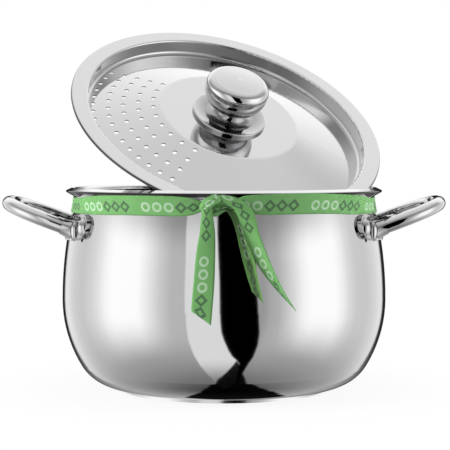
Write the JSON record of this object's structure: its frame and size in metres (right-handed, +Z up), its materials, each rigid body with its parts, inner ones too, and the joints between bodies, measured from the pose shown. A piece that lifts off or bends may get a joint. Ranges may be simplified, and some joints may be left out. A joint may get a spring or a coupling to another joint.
{
  "type": "pasta pot",
  "caption": "Polished steel belly pot with looped bar handles, a knobbed strainer lid with a sector of drain holes leaning in the mouth, and a ribbon tied under the lip",
  "frame": {"origin": "centre of the underside of the base, where the pot stands on the hob", "axes": "Z up along the pot's axis, X along the line of the two handles, -Y toward the front, where the ribbon is tied"},
  "size_m": [0.3254, 0.2389, 0.2678],
  "materials": {
    "pot_steel": "polished",
    "handle_steel": "polished",
    "lid_steel": "polished",
    "knob_steel": "polished",
    "core_aluminium": "satin",
    "green_ribbon": "satin"
  },
  "bodies": {
    "pot": {"pot_shell": "pot_steel", "base_core": "core_aluminium", "base_cap": "pot_steel", "right_handle_bar": "handle_steel", "left_handle_bar": "handle_steel", "right_front_foot": "handle_steel", "right_rear_foot": "handle_steel", "left_front_foot": "handle_steel", "left_rear_foot": "handle_steel", "right_front_bead": "handle_steel", "right_rear_bead": "handle_steel", "left_front_bead": "handle_steel", "left_rear_bead": "handle_steel", "right_front_ferrule": "handle_steel", "right_rear_ferrule": "handle_steel", "left_front_ferrule": "handle_steel", "left_rear_ferrule": "handle_steel", "ribbon_band": "green_ribbon", "ribbon_knot": "green_ribbon", "ribbon_tail_left": "green_ribbon", "ribbon_tail_middle": "green_ribbon", "ribbon_tail_right": "green_ribbon"},
    "lid": {"strainer_lid": "lid_steel", "knob_flange": "knob_steel", "knob_stem": "knob_steel", "knob_bowl": "knob_steel", "knob_cap": "knob_steel", "knob_bush": "knob_steel", "knob_washer": "knob_steel", "knob_screw": "knob_steel"}
  },
  "joints": [
    {"name": "lid_lift", "type": "slide", "parent": "pot", "child": "lid", "axis": [0, 0, 1], "range_m": [0, 0.15]}
  ]
}
